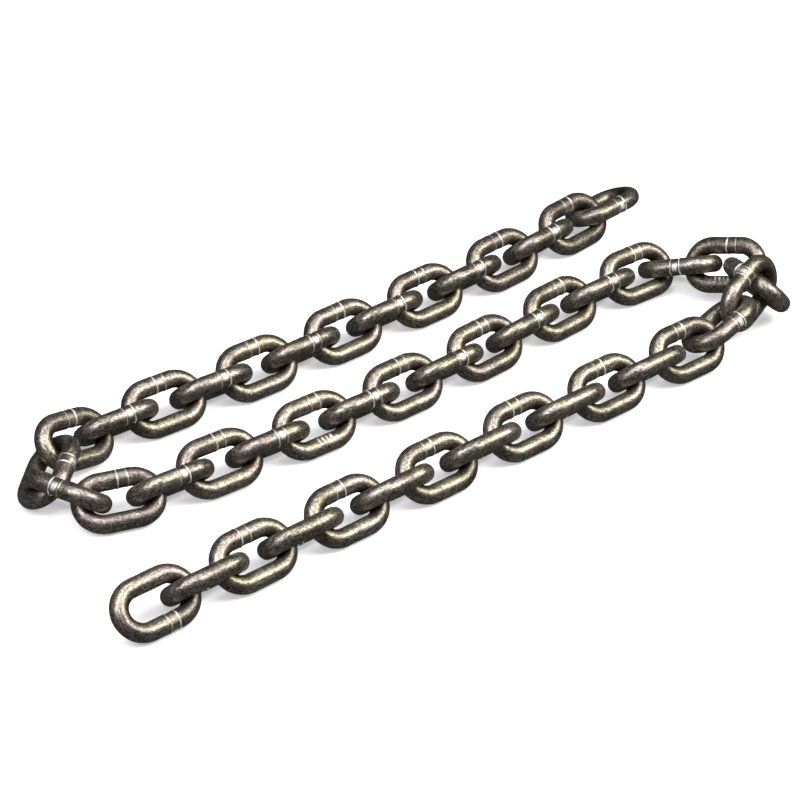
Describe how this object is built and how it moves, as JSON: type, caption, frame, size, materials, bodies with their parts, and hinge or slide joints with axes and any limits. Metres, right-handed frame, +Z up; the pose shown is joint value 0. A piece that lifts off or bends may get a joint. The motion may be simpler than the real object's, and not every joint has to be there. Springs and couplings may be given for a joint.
{
  "type": "short-link lifting chain",
  "caption": "Length of welded short-link lifting chain in round alloy steel, laid out in a flat zigzag, with every link hinged to the next.",
  "frame": {"origin": "on the ground under the middle of the laid-out chain", "axes": "+X along the straight runs towards the far end of the first run, +Z up from the ground"},
  "size_m": [0.484, 0.1754, 0.0436],
  "materials": {
    "chain_steel": "self-coloured forged scale, lightly oiled, with brighter rubbed edges"
  },
  "bodies": {
    "body_01": {"link_01": "chain_steel"},
    "body_02": {"link_02": "chain_steel"},
    "body_03": {"link_03": "chain_steel"},
    "body_04": {"link_04": "chain_steel"},
    "body_05": {"link_05": "chain_steel"},
    "body_06": {"link_06": "chain_steel"},
    "body_07": {"link_07": "chain_steel"},
    "body_08": {"link_08": "chain_steel"},
    "body_09": {"link_09": "chain_steel"},
    "body_10": {"link_10": "chain_steel"},
    "body_11": {"link_11": "chain_steel"},
    "body_12": {"link_12": "chain_steel"},
    "body_13": {"link_13": "chain_steel"},
    "body_14": {"link_14": "chain_steel"},
    "body_15": {"link_15": "chain_steel"},
    "body_16": {"link_16": "chain_steel"},
    "body_17": {"link_17": "chain_steel"},
    "body_18": {"link_18": "chain_steel"},
    "body_19": {"link_19": "chain_steel"},
    "body_20": {"link_20": "chain_steel"},
    "body_21": {"link_21": "chain_steel"},
    "body_22": {"link_22": "chain_steel"},
    "body_23": {"link_23": "chain_steel"},
    "body_24": {"link_24": "chain_steel"},
    "body_25": {"link_25": "chain_steel"},
    "body_26": {"link_26": "chain_steel"},
    "body_27": {"link_27": "chain_steel"},
    "body_28": {"link_28": "chain_steel"},
    "body_29": {"link_29": "chain_steel"},
    "body_30": {"link_30": "chain_steel"},
    "body_31": {"link_31": "chain_steel"},
    "body_32": {"link_32": "chain_steel"},
    "body_33": {"link_33": "chain_steel"},
    "body_34": {"link_34": "chain_steel"},
    "body_35": {"link_35": "chain_steel"},
    "body_36": {"link_36": "chain_steel"},
    "body_37": {"link_37": "chain_steel"},
    "body_38": {"link_38": "chain_steel"},
    "body_39": {"link_39": "chain_steel"},
    "body_40": {"link_40": "chain_steel"},
    "body_41": {"link_41": "chain_steel"},
    "body_42": {"link_42": "chain_steel"},
    "body_43": {"link_43": "chain_steel"},
    "body_44": {"link_44": "chain_steel"},
    "body_45": {"link_45": "chain_steel"},
    "body_46": {"link_46": "chain_steel"},
    "body_47": {"link_47": "chain_steel"}
  },
  "joints": [
    {"name": "bend_01_02", "type": "hinge", "parent": "body_01", "child": "body_02", "pos_m": [-0.1969, -0.07227, 0.01313], "axis": [0, 0.7071, 0.7071], "range_deg": [-75, 75]},
    {"name": "bend_02_03", "type": "hinge", "parent": "body_02", "child": "body_03", "pos_m": [-0.1669, -0.07227, 0.01313], "axis": [0, -0.7071, 0.7071], "range_deg": [-75, 75]},
    {"name": "bend_03_04", "type": "hinge", "parent": "body_03", "child": "body_04", "pos_m": [-0.1369, -0.07227, 0.01313], "axis": [0, -0.7071, -0.7071], "range_deg": [-75, 75]},
    {"name": "bend_04_05", "type": "hinge", "parent": "body_04", "child": "body_05", "pos_m": [-0.1069, -0.07227, 0.01313], "axis": [0, 0.7071, -0.7071], "range_deg": [-75, 75]},
    {"name": "bend_05_06", "type": "hinge", "parent": "body_05", "child": "body_06", "pos_m": [-0.0769, -0.07227, 0.01313], "axis": [0.0015, 0.7071, 0.7071], "range_deg": [-75, 75]},
    {"name": "bend_06_07", "type": "hinge", "parent": "body_06", "child": "body_07", "pos_m": [-0.0469, -0.07235, 0.01313], "axis": [-0.0031, -0.7071, 0.7071], "range_deg": [-75, 75]},
    {"name": "bend_07_08", "type": "hinge", "parent": "body_07", "child": "body_08", "pos_m": [-0.01691, -0.07249, 0.01313], "axis": [-0.0046, -0.7071, -0.7071], "range_deg": [-75, 75]},
    {"name": "bend_08_09", "type": "hinge", "parent": "body_08", "child": "body_09", "pos_m": [0.01309, -0.0727, 0.01313], "axis": [0.0062, 0.7071, -0.7071], "range_deg": [-75, 75]},
    {"name": "bend_09_10", "type": "hinge", "parent": "body_09", "child": "body_10", "pos_m": [0.04309, -0.07297, 0.01313], "axis": [0.0077, 0.7071, 0.7071], "range_deg": [-75, 75]},
    {"name": "bend_10_11", "type": "hinge", "parent": "body_10", "child": "body_11", "pos_m": [0.07309, -0.07331, 0.01313], "axis": [-0.0093, -0.707, 0.7071], "range_deg": [-75, 75]},
    {"name": "bend_11_12", "type": "hinge", "parent": "body_11", "child": "body_12", "pos_m": [0.10309, -0.07371, 0.01313], "axis": [-0.0108, -0.707, -0.7071], "range_deg": [-75, 75]},
    {"name": "bend_12_13", "type": "hinge", "parent": "body_12", "child": "body_13", "pos_m": [0.13308, -0.07418, 0.01313], "axis": [0.0123, 0.707, -0.7071], "range_deg": [-75, 75]},
    {"name": "bend_13_14", "type": "hinge", "parent": "body_13", "child": "body_14", "pos_m": [0.15158, -0.07452, 0.01313], "axis": [-0.0123, -0.707, 0.7071], "range_deg": [-75, 75]},
    {"name": "bend_14_15", "type": "hinge", "parent": "body_14", "child": "body_15", "pos_m": [0.19045, -0.06991, 0.02226], "axis": [0.1634, -0.9697, 0.1815], "range_deg": [-75, 30]},
    {"name": "bend_15_16", "type": "hinge", "parent": "body_15", "child": "body_16", "pos_m": [0.20696, -0.06442, 0.0268], "axis": [0.1634, -0.9697, 0.1815], "range_deg": [-27, 69]},
    {"name": "bend_16_17", "type": "hinge", "parent": "body_16", "child": "body_17", "pos_m": [0.2191, -0.03638, 0.01793], "axis": [0.754, 0.162, -0.6366], "range_deg": [-9, 27]},
    {"name": "bend_17_18", "type": "hinge", "parent": "body_17", "child": "body_18", "pos_m": [0.20699, -0.01441, 0.01626], "axis": [-0.255, -0.4571, -0.8521], "range_deg": [-40, 72]},
    {"name": "bend_18_19", "type": "hinge", "parent": "body_18", "child": "body_19", "pos_m": [0.19868, -0.00118, 0.0111], "axis": [0.255, 0.4571, 0.8521], "range_deg": [-50, 12]},
    {"name": "bend_19_20", "type": "hinge", "parent": "body_19", "child": "body_20", "pos_m": [0.15882, 0.00378, 0.01313], "axis": [-0.0011, -0.7071, -0.7071], "range_deg": [-75, 75]},
    {"name": "bend_20_21", "type": "hinge", "parent": "body_20", "child": "body_21", "pos_m": [0.12882, 0.00357, 0.01313], "axis": [-0.0348, 0.7063, -0.7071], "range_deg": [-75, 75]},
    {"name": "bend_21_22", "type": "hinge", "parent": "body_21", "child": "body_22", "pos_m": [0.09886, 0.00183, 0.01313], "axis": [-0.056, 0.7049, 0.7071], "range_deg": [-75, 75]},
    {"name": "bend_22_23", "type": "hinge", "parent": "body_22", "child": "body_23", "pos_m": [0.06897, -0.0007, 0.01313], "axis": [0.0336, -0.7063, 0.7071], "range_deg": [-75, 75]},
    {"name": "bend_23_24", "type": "hinge", "parent": "body_23", "child": "body_24", "pos_m": [0.039, -0.00196, 0.01313], "axis": [0.0112, -0.707, -0.7071], "range_deg": [-75, 75]},
    {"name": "bend_24_25", "type": "hinge", "parent": "body_24", "child": "body_25", "pos_m": [0.009, -0.00228, 0.01313], "axis": [0.0067, 0.7071, -0.7071], "range_deg": [-75, 75]},
    {"name": "bend_25_26", "type": "hinge", "parent": "body_25", "child": "body_26", "pos_m": [-0.021, -0.00186, 0.01313], "axis": [0.0202, 0.7068, 0.7071], "range_deg": [-75, 75]},
    {"name": "bend_26_27", "type": "hinge", "parent": "body_26", "child": "body_27", "pos_m": [-0.05099, -0.00091, 0.01313], "axis": [-0.0336, -0.7063, 0.7071], "range_deg": [-75, 75]},
    {"name": "bend_27_28", "type": "hinge", "parent": "body_27", "child": "body_28", "pos_m": [-0.08095, 0.00062, 0.01313], "axis": [-0.0437, -0.7058, -0.7071], "range_deg": [-75, 75]},
    {"name": "bend_28_29", "type": "hinge", "parent": "body_28", "child": "body_29", "pos_m": [-0.11089, 0.00255, 0.01313], "axis": [0.0527, 0.7051, -0.7071], "range_deg": [-75, 75]},
    {"name": "bend_29_30", "type": "hinge", "parent": "body_29", "child": "body_30", "pos_m": [-0.1408, 0.00485, 0.01313], "axis": [0.0616, 0.7044, 0.7071], "range_deg": [-75, 75]},
    {"name": "bend_30_31", "type": "hinge", "parent": "body_30", "child": "body_31", "pos_m": [-0.17068, 0.00753, 0.01313], "axis": [-0.1962, -0.539, 0.8192], "range_deg": [-45, 75]},
    {"name": "bend_31_32", "type": "hinge", "parent": "body_31", "child": "body_32", "pos_m": [-0.18718, 0.01469, 0.01163], "axis": [0.1962, 0.539, -0.8192], "range_deg": [-75, 66]},
    {"name": "bend_32_33", "type": "hinge", "parent": "body_32", "child": "body_33", "pos_m": [-0.19987, 0.03891, 0.01553], "axis": [-0.6246, -0.2011, -0.7546], "range_deg": [-75, 2]},
    {"name": "bend_33_34", "type": "hinge", "parent": "body_33", "child": "body_34", "pos_m": [-0.17763, 0.06622, 0.01688], "axis": [0.2441, -0.6825, 0.689], "range_deg": [-66, 33]},
    {"name": "bend_34_35", "type": "hinge", "parent": "body_34", "child": "body_35", "pos_m": [-0.14857, 0.06912, 0.01135], "axis": [0.037, 0.7061, 0.7071], "range_deg": [-72, 57]},
    {"name": "bend_35_36", "type": "hinge", "parent": "body_35", "child": "body_36", "pos_m": [-0.11943, 0.06817, 0.01313], "axis": [0.0518, 0.7052, -0.7071], "range_deg": [-75, 75]},
    {"name": "bend_36_37", "type": "hinge", "parent": "body_36", "child": "body_37", "pos_m": [-0.08952, 0.06587, 0.01313], "axis": [-0.053, -0.7051, -0.7071], "range_deg": [-75, 75]},
    {"name": "bend_37_38", "type": "hinge", "parent": "body_37", "child": "body_38", "pos_m": [-0.05961, 0.06361, 0.01313], "axis": [-0.0247, -0.7067, 0.7071], "range_deg": [-75, 75]},
    {"name": "bend_38_39", "type": "hinge", "parent": "body_38", "child": "body_39", "pos_m": [-0.02961, 0.06277, 0.01313], "axis": [0.0086, 0.7071, 0.7071], "range_deg": [-75, 75]},
    {"name": "bend_39_40", "type": "hinge", "parent": "body_39", "child": "body_40", "pos_m": [0.00039, 0.06252, 0.01313], "axis": [0, 0.7071, -0.7071], "range_deg": [-75, 75]},
    {"name": "bend_40_41", "type": "hinge", "parent": "body_40", "child": "body_41", "pos_m": [0.03039, 0.06258, 0.01313], "axis": [0, -0.7071, -0.7071], "range_deg": [-75, 75]},
    {"name": "bend_41_42", "type": "hinge", "parent": "body_41", "child": "body_42", "pos_m": [0.06039, 0.06258, 0.01313], "axis": [0.0025, -0.7071, 0.7071], "range_deg": [-75, 75]},
    {"name": "bend_42_43", "type": "hinge", "parent": "body_42", "child": "body_43", "pos_m": [0.09039, 0.06271, 0.01313], "axis": [-0.016, 0.7069, 0.7071], "range_deg": [-75, 75]},
    {"name": "bend_43_44", "type": "hinge", "parent": "body_43", "child": "body_44", "pos_m": [0.12038, 0.06349, 0.01313], "axis": [-0.0345, 0.7063, -0.7071], "range_deg": [-75, 75]},
    {"name": "bend_44_45", "type": "hinge", "parent": "body_44", "child": "body_45", "pos_m": [0.15033, 0.06509, 0.01313], "axis": [0.0555, -0.7049, -0.7071], "range_deg": [-75, 75]},
    {"name": "bend_45_46", "type": "hinge", "parent": "body_45", "child": "body_46", "pos_m": [0.18023, 0.06759, 0.01313], "axis": [0.0715, -0.7035, 0.7071], "range_deg": [-75, 75]},
    {"name": "bend_46_47", "type": "hinge", "parent": "body_46", "child": "body_47", "pos_m": [0.21007, 0.07074, 0.01313], "axis": [-0.0457, 0.3894, 0.9199], "range_deg": [-75, 75]}
  ]
}
